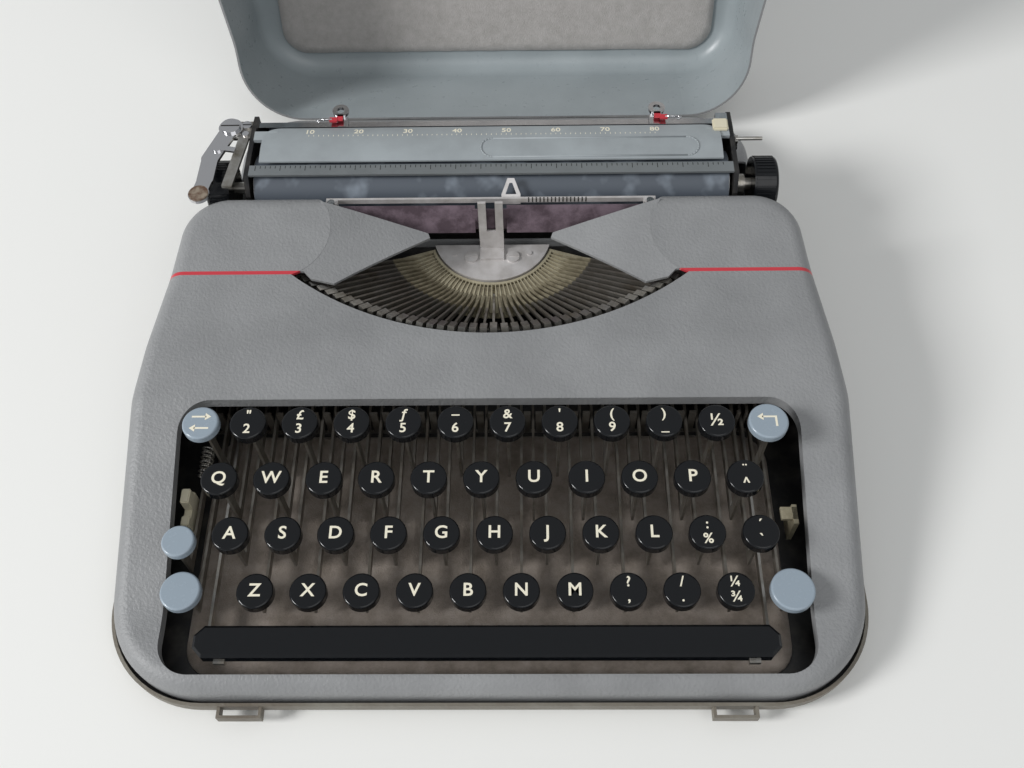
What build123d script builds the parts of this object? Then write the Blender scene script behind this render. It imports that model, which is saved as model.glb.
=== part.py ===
"""Portable typewriter standing in the lower half of its case, with the lid open behind it."""

import os
from math import asin, atan2, cos, degrees, hypot, radians, sin, tan

from build123d import *

# Case outline, seen from above
case_half_wide = 140.0
case_half_rear = 122.0
case_front_y = -145.0
taper_start_y = -35.0
taper_end_y = 100.0
case_rear_y = 137.8
front_corner_r = 38.0
rear_corner_r = 28.0
kink_r = 60.0

# Tray and feet
foot_h = 3.0
foot_r = 8.0
sheet = 1.2
rim_z = 10.0
tray_proud = 0.5
tray_edge_r = 2.5
felt_t = 1.5

# Lid
lid_gap = 0.3
lid_top_z = 64.0
lid_sheet = 1.0
lid_edge_r = 10.0
lid_felt_margin = 14.0
table_gap = 0.3

# Hinges and latches of the case
hinge_x = 70.0
hinge_long = 34.0
knuckle_r = 2.2
pin_r = 1.0
pin_clear = 0.08
wall_clear = 0.25
leaf_t = 0.8
leaf_h = 5.0
latch_x = 88.0
latch_wide = 16.0
latch_t = 1.2
handle_half = 44.0
handle_t = 5.0
handle_drop = 17.0

# Machine shell
shell_inset = 2.0
shell_edge_r = 7.0
front_top_z = 20.0
slope_start_y = -115.0
slope_end = (-39.0, 44.0)
brow = (-16.0, 48.4)
seam = (17.0, 50.0)
crest = (47.0, 56.0)
cover_rear_y = 54.5
cover_corner_r = 20.0
deck_z = 20.0
stripe_w = 1.6
bend_r = 40.0
opening_half = 117.5
opening_front_y = -137.0
opening_rear_y = -39.0
opening_r = 12.0
lip_h = 5.0
deck_open_half = 118.0
deck_open_rear = 104.0

# Type basket opening and ribbon cover flanks
tip_x = 81.0
crescent_y = -12.0
spool_x = 87.5
spool_y = 37.0
spool_cover_r = 21.8
flank_tip = (26.0, 38.5)
flank_tip_z = 46.0
rest_lip_h = 10.0

# Keyboard
pitch = 19.05
key_shift = -1.8
key_r = 6.65
key_h = 4.0
key_edge_r = 0.8
row_y = (-53.9, -73.0, -91.3, -109.8)
row_z = (52.6, 45.6, 38.0, 29.6)
row_off = (0.5, 0.0, 0.25, 0.75)
row_keys = (10, 11, 11, 10)
lever_t = 1.0
lever_h = 4.0
lever_z = 11.0
stem_w = 3.6
shaft_r = 2.0
shaft_clear = 0.08
hub_r = 4.2
fulcrum_y = 12.0
fulcrum_z = 13.0
frame_x = 115.0
frame_t = 1.5
h_row = 2
h_key = 5
bar_half = 103.0
bar_front_y = -133.0
bar_rear_y = -121.5
bar_top_z = 27.0
bar_t = 5.0
bar_end_cut = 3.5
space_arm_x = 101.5
clip_x = 94.0

# Type basket
plate_z = 20.0
segment_y = 56.5
segment_z = 25.3
segment_r = 42.5
segment_in_r = 26.4
plate_r = 25.8
plate_cut = 6.4
plate_proud = 0.8
segment_half = 72.0
bar_half_angle = 68.0
wire_r = 33.0
wire_thick = 0.7
wire_sunk = 1.6
slot_w = 1.2
slot_depth = 3.2
typebar_t = 0.9
typebar_h = 2.2
typebar_low = 9.0
slug_w = 2.8
slug_long = 5.0
slug_h = 3.0
slug_gap = 1.3
slug_z = 43.6
guide_half = 5.2
guide_t = 1.2
guide_y = 47.5
guide_top = 56.0
guide_slot = 3.8
guide_slot_low = 38.0

# Carriage
platen_y = 70.0
platen_z = 42.0
platen_r = 14.0
platen_half = 100.6
platen_shaft_r = 2.5
knob_r = 11.5
knob_in = 112.0
knob_out = 122.3
end_x = 102.0
end_t = 2.0
rail_top_z = 24.5
rail_gap = 0.3
carriage_floor_t = 1.2
carriage_front_y = 60.0
carriage_rear_y = 98.0
table_half = 98.0
table_front = (69.0, 59.2)
table_mid = (80.0, 59.9)
table_rear = (89.8, 57.8)
table_t = 0.8
table_corner_r = 7.0
scale_y = (62.4, 68.0)
scale_z = 57.0
scale_t = 1.0
margin_y = (92.2, 95.2)
margin_z = (53.0, 56.0)
stop_clear = 0.3
stop_x = (-66.0, 72.0)
lever_pivot = (-113.0, 90.0)
lever_low = 57.2
lever_sheet = 1.4

# Ribbon
spool_r = 17.5
spool_h = 13.0
spool_low = 29.0
ribbon_t = 0.4
ribbon_w = 12.6
ribbon_y = 49.7
ribbon_z = 43.8
ribbon_lean = 24.0
post_x = 66.5
post_y = 50.8
post_r = 1.5
gauge_y = (53.2, 54.2)
gauge_z = (50.1, 52.5)

far = 400.0
tray_floor = foot_h + sheet
hinge_y = case_rear_y + tray_proud + knuckle_r + wall_clear
hinge_z = rim_z + lid_gap / 2


def block(x, y, z):
    """A box from three pairs of limits."""
    size = [max(p) - min(p) for p in (x, y, z)]
    return Pos(*[(p[0] + p[1]) / 2 for p in (x, y, z)]) * Box(*size)


def rod(start, end, radius):
    """A round rod between two points."""
    a, b = Vector(*start), Vector(*end)
    return Plane(origin=a, z_dir=b - a) * Cylinder(
        radius, (b - a).length, align=(Align.CENTER, Align.CENTER, Align.MIN)
    )


def strip(start, end, side, thick, high):
    """A flat bar between two points, thin along side."""
    a, b = Vector(*start), Vector(*end)
    along = (b - a).normalized()
    across = Vector(*side)
    across = (across - along * across.dot(along)).normalized()
    return Plane(origin=a, x_dir=along, z_dir=across) * Box(
        (b - a).length, high, thick, align=(Align.MIN, Align.CENTER, Align.CENTER)
    )


def slab(points, x0, x1):
    """A side view, drawn in y and z, that fills x0 to x1."""
    face = Plane.YZ * make_face(Polyline(*points, close=True))
    return Pos(x0, 0, 0) * extrude(face, x1 - x0)


def fuse(pieces):
    """One shape from several that touch or overlap."""
    return pieces[0].fuse(*pieces[1:]) if len(pieces) > 1 else pieces[0]


def both(piece):
    """A piece and its mirror image across the middle."""
    return Compound(children=[piece, mirror(piece, about=Plane.YZ)])


def outline(grow):
    """The case seen from above, grown or shrunk."""
    right = [
        (case_half_wide, case_front_y),
        (case_half_wide, taper_start_y),
        (case_half_rear, taper_end_y),
        (case_half_rear, case_rear_y),
    ]
    face = make_face(Polyline(*right, *[(-x, y) for x, y in reversed(right)], close=True))
    for y, r in (
        (case_front_y, front_corner_r),
        (taper_start_y, kink_r),
        (taper_end_y, kink_r),
        (case_rear_y, rear_corner_r),
    ):
        face = fillet([v for v in face.vertices() if abs(v.Y - y) < 0.01], r)
    return offset(face, amount=grow) if grow else face


def top_profile(drop):
    """Side view of the shell's top, lowered by drop."""
    points = [
        (case_front_y - 30, front_top_z),
        (slope_start_y, front_top_z),
        slope_end,
        brow,
        seam,
        crest,
        (cover_rear_y + 30, crest[1]),
        (cover_rear_y + 30, -far / 4),
        (case_front_y - 30, -far / 4),
    ]
    face = make_face(Polyline(*[(y, z - drop if z > 0 else z) for y, z in points], close=True))
    bends = [p[0] for p in (slope_end, brow, seam)] + [slope_start_y]
    for y in bends:
        face = fillet([v for v in face.vertices() if abs(v.X - y) < 0.01], bend_r)
    face = fillet([v for v in face.vertices() if abs(v.X - crest[0]) < 0.01], bend_r / 3)
    return Plane.YZ * face


def cover_body(inset, drop, edge_r):
    """The shell's outer form as a full solid."""
    plan = outline(-shell_inset - inset)
    plan -= Pos(0, cover_rear_y - inset + far / 2) * Rectangle(far, far)
    plan = fillet(
        [v for v in plan.vertices() if v.Y > cover_rear_y - inset - 0.01], cover_corner_r - inset
    )
    low = tray_floor if not drop else tray_floor - 5
    body = Pos(0, 0, low) * extrude(plan, 100) & extrude(top_profile(drop), far / 2, both=True)
    rim = []
    for e in body.edges():
        middle, run = e.position_at(0.5), e.tangent_at(0.5)
        at_end = middle.Y < case_front_y + 8 or middle.Y > cover_rear_y - inset - 1
        if middle.Z > front_top_z - drop - 1 and abs(run.Z) < 0.9 and (abs(run.X) < 0.95 or at_end):
            rim.append(e)
    return fillet(rim, edge_r)


# Places worked out from the sizes above
wall_front = case_front_y - tray_proud
wall_rear = case_rear_y + tray_proud
lid_low = rim_z + lid_gap
edge_back = hinge_y - wall_rear + lid_edge_r
edge_up = lid_top_z - lid_edge_r - hinge_z
lean = degrees(
    atan2(edge_back, edge_up)
    + asin((hinge_z - lid_edge_r - table_gap) / hypot(edge_back, edge_up))
)
lid_turn = 90 + lean
sag = seam[0] - crescent_y
crescent_r = (tip_x**2 + sag**2) / (2 * sag)
crescent_c = crescent_y + crescent_r
plate_top = plate_z + sheet
wire_z = segment_z - wire_sunk
parts = {}


def opened(piece):
    """A piece of the closed lid, turned to where the open lid holds it."""
    return (
        Pos(0, hinge_y, hinge_z) * Rot(-lid_turn, 0, 0) * Pos(0, -hinge_y, -hinge_z) * piece
    )


def pie(half_angle, y, low, high):
    """An upright wedge about a point on the middle line, open towards the front."""
    a = radians(half_angle)
    side, back = far * sin(a), -far * cos(a)
    face = make_face(
        Polyline((0, 0), (side, back), (side, -far), (-side, -far), (-side, back), close=True)
    )
    return Pos(0, y, low) * extrude(face, high - low)


def disc(radius, y, low, high, x=0.0):
    """An upright round slab."""
    return Pos(x, y, low) * extrude(Circle(radius), high - low)


# Tray, felt and feet
tray = Pos(0, 0, foot_h) * extrude(outline(tray_proud), rim_z - foot_h)
tray = fillet([e for e in tray.edges() if e.center().Z < foot_h + 0.01], tray_edge_r)
tray -= Pos(0, 0, tray_floor) * extrude(outline(tray_proud - sheet), rim_z)
parts["base_tray"] = tray
felt_half, felt_front, felt_rear, felt_r, comb_y = 112.0, -134.0, -34.0, 12.0, -32.0
parts["base_felt"] = Pos(0, (felt_front + felt_rear) / 2, tray_floor) * extrude(
    RectangleRounded(2 * felt_half, felt_rear - felt_front, felt_r), felt_t
)
foot_places = ((112.0, -112.0), (98.0, 112.0))
parts["rubber_feet"] = both(fuse([disc(foot_r, y, 0, foot_h, x) for x, y in foot_places]))

# Case hinges: leaves and pins on the tray
third = hinge_long / 3
inner_half = third / 2
outer_in = inner_half + wall_clear
hinge_ends = (hinge_x - hinge_long / 2, hinge_x + hinge_long / 2)
leaf_y = (wall_rear, wall_rear + leaf_t)
leaf = block(hinge_ends, leaf_y, (rim_z - leaf_h, rim_z - 1))
leaf -= block(
    (hinge_x - outer_in, hinge_x + outer_in), (0, far), (hinge_z - knuckle_r - wall_clear, rim_z)
)
knuckles = [
    rod((hinge_x + a, hinge_y, hinge_z), (hinge_x + b, hinge_y, hinge_z), knuckle_r)
    for a, b in ((-hinge_long / 2, -outer_in), (outer_in, hinge_long / 2))
]
pin = rod((hinge_ends[0], hinge_y, hinge_z), (hinge_ends[1], hinge_y, hinge_z), pin_r)
parts["hinge_leaves"] = both(fuse([leaf, *knuckles, pin]))

# Keeper loops for the latches
latch_half = latch_wide / 2
tongue_half = latch_half - 1.5
strap_in = wall_front - latch_t - 1.7
tongue_y = (strap_in + 0.3, strap_in + 0.3 + latch_t)
keeper = block((latch_x - latch_half, latch_x + latch_half), (strap_in - 1, wall_front), (4.6, 9.2))
keeper -= block(
    (latch_x - tongue_half - 0.4, latch_x + tongue_half + 0.4), (strap_in, wall_front), (4, 10)
)
parts["latch_keepers"] = both(keeper)

# Lid
lid = Pos(0, 0, lid_low) * extrude(outline(tray_proud), lid_top_z - lid_low)
lid = fillet([e for e in lid.edges() if e.center().Z > lid_top_z - 0.01], lid_edge_r)
ceiling = lid_top_z - lid_sheet
room = Pos(0, 0, lid_low - 10) * extrude(outline(tray_proud - lid_sheet), ceiling - lid_low + 10)
room = fillet([e for e in room.edges() if e.center().Z > ceiling - 0.01], lid_edge_r - lid_sheet)
parts["lid_shell"] = opened(lid - room)
parts["lid_felt"] = opened(
    Pos(0, 0, ceiling - felt_t) * extrude(outline(-lid_felt_margin), felt_t)
)
leaf_low = hinge_z + knuckle_r + wall_clear
knuckle = fuse(
    [
        rod((hinge_x - inner_half, hinge_y, hinge_z), (hinge_x + inner_half, hinge_y, hinge_z), knuckle_r),
        block((hinge_x - inner_half, hinge_x + inner_half), leaf_y, (lid_low + 0.4, leaf_low + 1)),
        block(hinge_ends, leaf_y, (leaf_low, leaf_low + leaf_h)),
    ]
)
knuckle -= rod(
    (hinge_x - hinge_long, hinge_y, hinge_z), (hinge_x + hinge_long, hinge_y, hinge_z), pin_r + pin_clear
)
guide_low, strap_z = 15.0, (23.0, 25.0)
latch_guide = block(
    (latch_x - latch_half, latch_x + latch_half), (strap_in - 1, wall_front), (guide_low, strap_z[1])
)
latch_guide -= block(
    (latch_x - tongue_half - 0.3, latch_x + tongue_half + 0.3), (strap_in, wall_front), (0, 40)
)
latch_guide -= block(
    (latch_x - tongue_half - 0.3, latch_x + tongue_half + 0.3), (strap_in - 9, wall_front), (0, strap_z[0])
)
handle_y = wall_front - handle_t / 2 - 1.5
handle_z = 34.0
bracket_half = 3.0
handle_pin_r = 1.2
bracket = block(
    (handle_half, handle_half + 2 * bracket_half),
    (handle_y - bracket_half, wall_front),
    (handle_z - bracket_half, handle_z + bracket_half),
)
bracket -= rod(
    (0, handle_y, handle_z), (handle_half + bracket_half, handle_y, handle_z), handle_pin_r + pin_clear
)
parts["lid_fittings"] = opened(both(fuse([knuckle, latch_guide, bracket])))
tongue_low = rim_z + 1.5
latch = block((latch_x - tongue_half, latch_x + tongue_half), tongue_y, (tongue_low, strap_z[1] + 2))
latch += block(
    (latch_x - tongue_half + 1, latch_x + tongue_half - 1), (strap_in - 2.2, strap_in + 0.5), (19.5, 22)
)
parts["latch_right"] = opened(latch)
parts["latch_left"] = opened(mirror(latch, about=Plane.YZ))
grip_y = (handle_y - handle_t / 2, handle_y + handle_t / 2)
grip_half = handle_half - 0.5
grip = block((-grip_half, grip_half), grip_y, (handle_z - handle_drop - 3, handle_z + 2.5))
grip -= block(
    (-grip_half + 5, grip_half - 5), (handle_y - 9, handle_y + 9), (handle_z - handle_drop + 2, 60)
)
grip = fillet([e for e in grip.edges() if abs(e.tangent_at(0.5).Y) < 0.5 and e.length > 10], 1.2)
handle_pins = rod(
    (-handle_half - bracket_half + 0.3, handle_y, handle_z),
    (-grip_half + 1, handle_y, handle_z),
    handle_pin_r,
)
grip = fuse([grip, handle_pins, mirror(handle_pins, about=Plane.YZ)])
parts["carry_handle"] = opened(grip)

# Machine shell in three pieces with a red stripe between the first two
outer = cover_body(0, 0, shell_edge_r)
shell = outer - cover_body(sheet, sheet, shell_edge_r - sheet)
opening_y = (opening_front_y + opening_rear_y) / 2
opening_long = opening_rear_y - opening_front_y
window = Pos(0, opening_y, tray_floor) * extrude(
    RectangleRounded(2 * opening_half, opening_long, opening_r), far / 4
)
frame = Pos(0, opening_y, tray_floor) * extrude(
    RectangleRounded(2 * (opening_half + sheet), opening_long + 2 * sheet, opening_r + sheet), far / 4
)
lip = (frame - window) & (outer - Pos(0, 0, -lip_h) * outer)
basket = make_face(
    [
        ThreePointArc((-tip_x, seam[0]), (0, crescent_y), (tip_x, seam[0])),
        Line((tip_x, seam[0]), (spool_x, cover_rear_y + 9)),
        Line((spool_x, cover_rear_y + 9), (-spool_x, cover_rear_y + 9)),
        Line((-spool_x, cover_rear_y + 9), (-tip_x, seam[0])),
    ]
)
for x in (-spool_x, spool_x):
    basket -= Pos(x, spool_y) * Circle(spool_cover_r + 0.3)
basket = Pos(0, 0, deck_z + 5) * extrude(basket, far / 4)
stripe_y = (seam[0] - stripe_w / 2, seam[0] + stripe_w / 2)
crescent_lip = disc(crescent_r + sheet, crescent_c, 0, 90) - disc(crescent_r, crescent_c, 0, 90)
crescent_lip &= outer - Pos(0, 0, -rest_lip_h) * outer
crescent_lip &= block((-tip_x, tip_x), (crescent_y - 9, stripe_y[0]), (0, 90))
shell = shell - basket
parts["front_shell"] = (
    (shell & block((-far, far), (-far, stripe_y[0]), (0, far))) - window + lip + crescent_lip
)
stripes = shell & block((-far, far), stripe_y, (0, far))
parts["trim_stripes"] = stripes
tilt = atan2(crest[1] - seam[1], crest[0] - seam[0])
spool_top = seam[1] + (spool_y - seam[0]) * tan(tilt)
cover_top = Plane(
    origin=(spool_x, spool_y, spool_top), x_dir=(1, 0, 0), z_dir=(0, -sin(tilt), cos(tilt))
)
tip_at = cover_top.to_local_coords(Vector(flank_tip[0], flank_tip[1], flank_tip_z))
fall = -tip_at.Z / (hypot(tip_at.X, tip_at.Y) - spool_cover_r)
cone_h = 12.0
cone = cover_top * Cone(
    spool_cover_r + cone_h / fall,
    spool_cover_r,
    cone_h,
    align=(Align.CENTER, Align.CENTER, Align.MAX),
)
skin = cone - Pos(0, 0, -sheet) * cone
skin -= cover_top * Cylinder(spool_cover_r - 0.8, 60)
wedge = make_face(
    Polyline(
        (74, 50), (flank_tip[0], flank_tip[1] + 1.5), (flank_tip[0] - 0.8, flank_tip[1] - 0.5),
        (63, 13.8), (72, 15.0), (75, stripe_y[1]), (92, stripe_y[1]), (92, 50), close=True,
    )
)
flank = skin & Pos(0, 0, 30) * extrude(wedge, 60)
upper = shell & block((-far, far), (stripe_y[1], far), (deck_z, far))
parts["ribbon_cover"] = upper + flank + mirror(flank, about=Plane.YZ)
deck_r = 4.0


def deck_body(inset, drop):
    """The low rear body, full; its top edge is rounded behind the ribbon cover."""
    low = tray_floor - (5 if drop else 0)
    plan = outline(-shell_inset - inset)
    full = Pos(0, 0, low) * extrude(plan, deck_z - drop - low)
    ahead = full & block((-far, far), (stripe_y[1], cover_rear_y), (-far, far))
    behind = full & block((-far, far), (cover_rear_y, far), (-far, far))
    rim = [
        e
        for e in behind.edges()
        if e.center().Z > deck_z - drop - 0.01 and e.center().Y > cover_rear_y + 0.1
    ]
    return ahead + fillet(rim, deck_r - inset)


rear = deck_body(0, 0) - deck_body(sheet, sheet)
rear -= block((-deck_open_half, deck_open_half), (-far, deck_open_rear), (tray_floor + 5, far))
parts["rear_cover"] = rear & block((-far, far), (stripe_y[1], far), (tray_floor, far))

# Frame that carries the machine
frame_half = frame_x + frame_t
frame_y = (-6.0, cover_rear_y - sheet - 0.3)
sides = block((frame_x, frame_half), frame_y, (tray_floor, plate_z))
sides -= rod((0, fulcrum_y, fulcrum_z), (far, fulcrum_y, fulcrum_z), shaft_r)
plate = block((-frame_half, frame_half), (19, frame_y[1]), (plate_z, plate_top))
plate = chamfer(
    [e for e in plate.edges() if abs(e.tangent_at(0.5).Z) > 0.9 and e.center().Y > 20], 15
)
parts["machine_frame"] = fuse([plate, sides, mirror(sides, about=Plane.YZ)])
parts["fulcrum_shaft"] = rod((-frame_half, fulcrum_y, fulcrum_z), (frame_half, fulcrum_y, fulcrum_z), shaft_r)


def lever(x, y, high, stem_y=None):
    """One key lever with its hub and its stem up to the key."""
    stem_y = y if stem_y is None else stem_y
    x0, x1 = x - lever_t / 2, x + lever_t / 2
    pieces = [
        block((x0, x1), (y - stem_w / 2, fulcrum_y), (lever_z, lever_z + lever_h)),
        rod((x0, fulcrum_y, fulcrum_z), (x1, fulcrum_y, fulcrum_z), hub_r),
        block((x0, x1), (stem_y - stem_w / 2, stem_y + stem_w / 2), (lever_z, high)),
    ]
    bore = rod((x0 - 1, fulcrum_y, fulcrum_z), (x1 + 1, fulcrum_y, fulcrum_z), shaft_r + shaft_clear)
    return fuse(pieces) - bore


def cap(x, y, top, radius):
    """One round key top."""
    body = Pos(x, y, top - key_h) * extrude(Circle(radius), key_h)
    return fillet([e for e in body.edges() if e.center().Z > top - 0.01], key_edge_r)


def key_x(row, i):
    return (i - 5 + row_off[row]) * pitch + key_shift


# Keys, row by row, with the H key on its own
row_names = ("number_row", "top_row", "home_row", "bottom_row")
lever_xs = []
for row, name in enumerate(row_names):
    tops, levers = [], []
    for i in range(row_keys[row]):
        x, y, z = key_x(row, i), row_y[row], row_z[row]
        lever_xs.append(x)
        if (row, i) == (h_row, h_key):
            parts["h_key"] = fuse([cap(x, y, z, key_r), lever(x, y, z - key_h)])
            continue
        tops.append(cap(x, y, z, key_r))
        levers.append(lever(x, y, z - key_h))
    parts[name + "_keys"] = Compound(children=tops)
    parts[name + "_levers"] = Compound(children=levers)

# Keys beside the rows: cap centre, cap radius, lever place
side_keys = {
    "arrow_key": ((-105.2, -53.4, 52.0), 6.75, -104.2),
    "backspace_key": ((102.9, -53.8, 52.0), 7.25, 104.4),
    "shift_lock_key": ((-110.8, -93.8, 37.5), 6.0, -112.6),
    "shift_key_left": ((-109.6, -109.6, 29.5), 7.3, -107.2),
    "shift_key_right": ((108.9, -109.6, 29.5), 7.9, 108.0),
}
side_key_h = 3.2
for name, ((x, y, z), r, at) in side_keys.items():
    lever_xs.append(at)
    top = Pos(x, y, z - side_key_h) * extrude(Circle(r), side_key_h)
    top = fillet([e for e in top.edges() if e.center().Z > z - 0.01], key_edge_r)
    parts[name] = fuse([top, lever(at, y, z - side_key_h)])

# Space bar on two arms
cut = bar_end_cut
bar_plan = make_face(
    Polyline(
        (-bar_half + cut, bar_front_y), (bar_half - cut, bar_front_y), (bar_half, bar_front_y + cut),
        (bar_half, bar_rear_y - cut), (bar_half - cut, bar_rear_y), (-bar_half + cut, bar_rear_y),
        (-bar_half, bar_rear_y - cut), (-bar_half, bar_front_y + cut), close=True,
    )
)
bar = Pos(0, 0, bar_top_z - bar_t) * extrude(bar_plan, bar_t)
bar = chamfer([e for e in bar.edges() if e.center().Z > bar_top_z - 0.01], 1.0)
parts["space_bar"] = bar
bar_mid = (bar_front_y + bar_rear_y) / 2
under_bar = (bar_top_z - bar_t - 2, bar_top_z - bar_t)
clip = block((clip_x - 2, clip_x + 2), (bar_front_y - 0.8, bar_rear_y), under_bar)
link = block((clip_x, space_arm_x), (bar_mid - 1, bar_mid + 1), under_bar)
arm = lever(space_arm_x, bar_mid, bar_top_z - bar_t)
lever_xs += [space_arm_x, -space_arm_x]
parts["space_bar_arms"] = both(fuse([arm, clip, link]))

# Comb that guides the levers
comb = block((-frame_x, frame_x), (comb_y, comb_y + sheet), (tray_floor, lever_z + lever_h + 5))
slots = [
    block((x - 1, x + 1), (comb_y - 2, comb_y + 3), (tray_floor + 1, 60)) for x in lever_xs
]
parts["key_comb"] = comb - slots

# Segment with its slots, plate and screws
ring = disc(segment_r, segment_y, plate_top, segment_z)
ring -= disc(segment_in_r, segment_y, 0, 90)
ring &= pie(segment_half, segment_y, 0, 90)
bar_count = sum(row_keys)
turns = [bar_half_angle * (2 * i / (bar_count - 1) - 1) for i in range(bar_count)]
wire = Pos(0, segment_y, wire_z) * Torus(wire_r, wire_thick)
wire &= pie(bar_half_angle + 1.5, segment_y, 0, 90)
slot_in, slot_out = segment_in_r + 1.2, segment_r + 2
cutters = [
    Pos(0, segment_y, segment_z - slot_depth / 2)
    * Rot(0, 0, a)
    * Pos(0, -(slot_in + slot_out) / 2, 0)
    * Box(slot_w, slot_out - slot_in, slot_depth)
    for a in turns
]
parts["segment"] = ring - cutters - wire
moon = disc(plate_r, segment_y, plate_top, segment_z + plate_proud)
moon -= block((-far, far), (segment_y - plate_cut, far), (0, 90))
screw_top = segment_z + plate_proud + 0.9
screws = [disc(2.9, segment_y - 13.5, segment_z, screw_top, x) for x in (-9.0, 9.0)]
screws += [disc(1.1, segment_y - 11.3, segment_z, screw_top - 0.4, x) for x in (-16.2, 16.2)]
screws = [
    s - block((-20, 20), (segment_y - 13.9, segment_y - 13.1), (screw_top - 0.5, 90)) for s in screws
]
parts["segment_plate"] = fuse([moon, *screws])

# Typebars in a fan, each bent once, with their slugs along the crescent
slug_arc = crescent_r - slug_gap - slug_long
slug_turn = degrees(asin(tip_x / crescent_r)) - 0.9
bars, slugs = [wire], []
h_bar = bar_count // 2
for i, a in enumerate(turns):
    u = Vector(sin(radians(a)), -cos(radians(a)), 0)
    side = Vector(cos(radians(a)), sin(radians(a)), 0)
    centre = Vector(0, segment_y, wire_z)
    foot = centre + u * wire_r
    b = radians(slug_turn * a / bar_half_angle)
    end = Vector(slug_arc * sin(b), crescent_c - slug_arc * cos(b), slug_z)
    if i == h_bar:
        reach = segment_y - end.Y
        end = Vector(u.X * reach, segment_y + u.Y * reach, slug_z)
        hub = Plane(origin=foot, z_dir=side) * Cylinder(1.5, typebar_t)
        hole = Plane(origin=foot, z_dir=side) * Cylinder(wire_thick + shaft_clear, 3)
        run = (end - foot).normalized()
        piece = [
            hub,
            strip(foot, end, side, typebar_t, typebar_h),
            strip(end - run, end + run * slug_long, side, slug_w, slug_h),
        ]
        parts["typebar_h"] = fuse(piece) - hole
        h_foot, h_end = foot, end
        continue
    flat = (Vector(end.X, end.Y, 0) - Vector(foot.X, foot.Y, 0)).length
    bend = foot + u * typebar_low + Vector(0, 0, typebar_low * (slug_z - wire_z) / flat)
    run = (end - bend).normalized()
    across = Vector(-run.Y, run.X, 0)
    bars.append(strip(foot - u * 4.5, foot + u * 0.5, side, typebar_t, typebar_h))
    bars.append(strip(foot, bend + (bend - foot).normalized() * 0.4, side, typebar_t, typebar_h))
    bars.append(strip(bend, end, across, typebar_t, typebar_h))
    slugs.append(strip(end, end + run * slug_long, across, slug_w, slug_h))
parts["typebars"] = fuse(bars)
parts["type_slugs"] = Compound(children=slugs)
rest_z = (40.2, 41.5)
rest = disc(crescent_r, crescent_c, *rest_z) - disc(crescent_r - 6, crescent_c, 0, 90)
parts["type_rest"] = rest & block((-far, far), (-far, stripe_y[0] - 1.5), (0, 90))

# Type guide: a bracket on the segment plate with a fork at its top
plate_face = segment_z + plate_proud
fork = block((-guide_half, guide_half), (guide_y, guide_y + guide_t), (plate_face, guide_top))
fork -= block((-guide_slot / 2, guide_slot / 2), (0, 90), (guide_slot_low, 90))
fork += block((-guide_half, guide_half), (guide_y - 6, guide_y), (plate_face, plate_face + guide_t))
parts["type_guide"] = fork

# Ribbon, its spools and posts
post_low = spool_low - 0.5
stem = fuse(
    [
        disc(2.4, spool_y - 3.5, plate_top, spool_low + spool_h + 1.5, spool_x),
        disc(5.0, spool_y - 3.5, plate_top, post_low, spool_x),
        disc(post_r, post_y, plate_top, gauge_z[1] + 1.5, post_x),
    ]
)
parts["ribbon_posts"] = both(stem)
spool = fuse(
    [
        disc(spool_r, spool_y - 3.5, spool_low, spool_low + 1, spool_x),
        disc(12.0, spool_y - 3.5, spool_low, spool_low + spool_h, spool_x),
        disc(spool_r, spool_y - 3.5, spool_low + spool_h - 1, spool_low + spool_h, spool_x),
    ]
) - disc(2.4 + shaft_clear, spool_y - 3.5, 0, 90, spool_x)
parts["ribbon_spool_right"] = spool
parts["ribbon_spool_left"] = mirror(spool, about=Plane.YZ)
ribbon_half = post_x - post_r
near = guide_half + 1.5
band = Pos((near + ribbon_half) / 2, ribbon_y, ribbon_z) * Rot(-ribbon_lean, 0, 0) * Box(
    ribbon_half - near, ribbon_t, ribbon_w
)
middle = Pos(0, guide_y + guide_t + 1.0, ribbon_z) * Box(2 * near + 2, ribbon_t, ribbon_w)
parts["ribbon"] = fuse([middle, band, mirror(band, about=Plane.YZ)])
gauge = block((-post_x, post_x), gauge_y, gauge_z)
tab = block((post_x - 2.5, post_x + 2.5), (post_y, gauge_y[1]), gauge_z)
finger_low, finger_high = (gauge_y[1] + 0.4, gauge_z[0] + 0.4), (60.8, 56.8)
finger_x = 8.6
finger_up = Vector(0, finger_high[0] - finger_low[0], finger_high[1] - finger_low[1])
finger_plane = Plane(
    origin=(finger_x, *finger_low), x_dir=(1, 0, 0), z_dir=Vector(1, 0, 0).cross(finger_up)
)
f = finger_up.length
finger = make_face(Polyline((-4, 0), (4, 0), (4, 2.2), (1.4, f), (-1.4, f), (-4, 2.2), close=True))
finger -= make_face(Polyline((-2.3, 2.2), (2.3, 2.2), (0.6, f - 2), (-0.6, f - 2), close=True))
finger = finger_plane * extrude(finger, 0.8)
tab_z = (gauge_z[0] - 1, gauge_z[0] + 1.5)
foot_tab = block((finger_x - 4, finger_x + 4), (gauge_y[0], gauge_y[1] + 1), tab_z)
gauge = fuse([gauge, tab, mirror(tab, about=Plane.YZ), foot_tab, finger])
parts["line_gauge"] = gauge - both(disc(post_r, post_y, 0, 90, post_x))

# Carriage rails on their posts, and the mainspring drum
rail_ys = ((62.0, 66.0), (92.0, 96.0))
rails = []
for ys in rail_ys:
    rails.append(block((-108, 108), ys, (rail_top_z - 3.3, rail_top_z)))
    for x in (-98, 0, 98):
        rails.append(block((x - 4, x + 4), ys, (tray_floor, rail_top_z - 3.3)))
parts["carriage_rails"] = Compound(children=[fuse(rails[:4]), fuse(rails[4:])])
parts["mainspring_drum"] = disc(11.0, 79.0, tray_floor, 17, -60)

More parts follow.
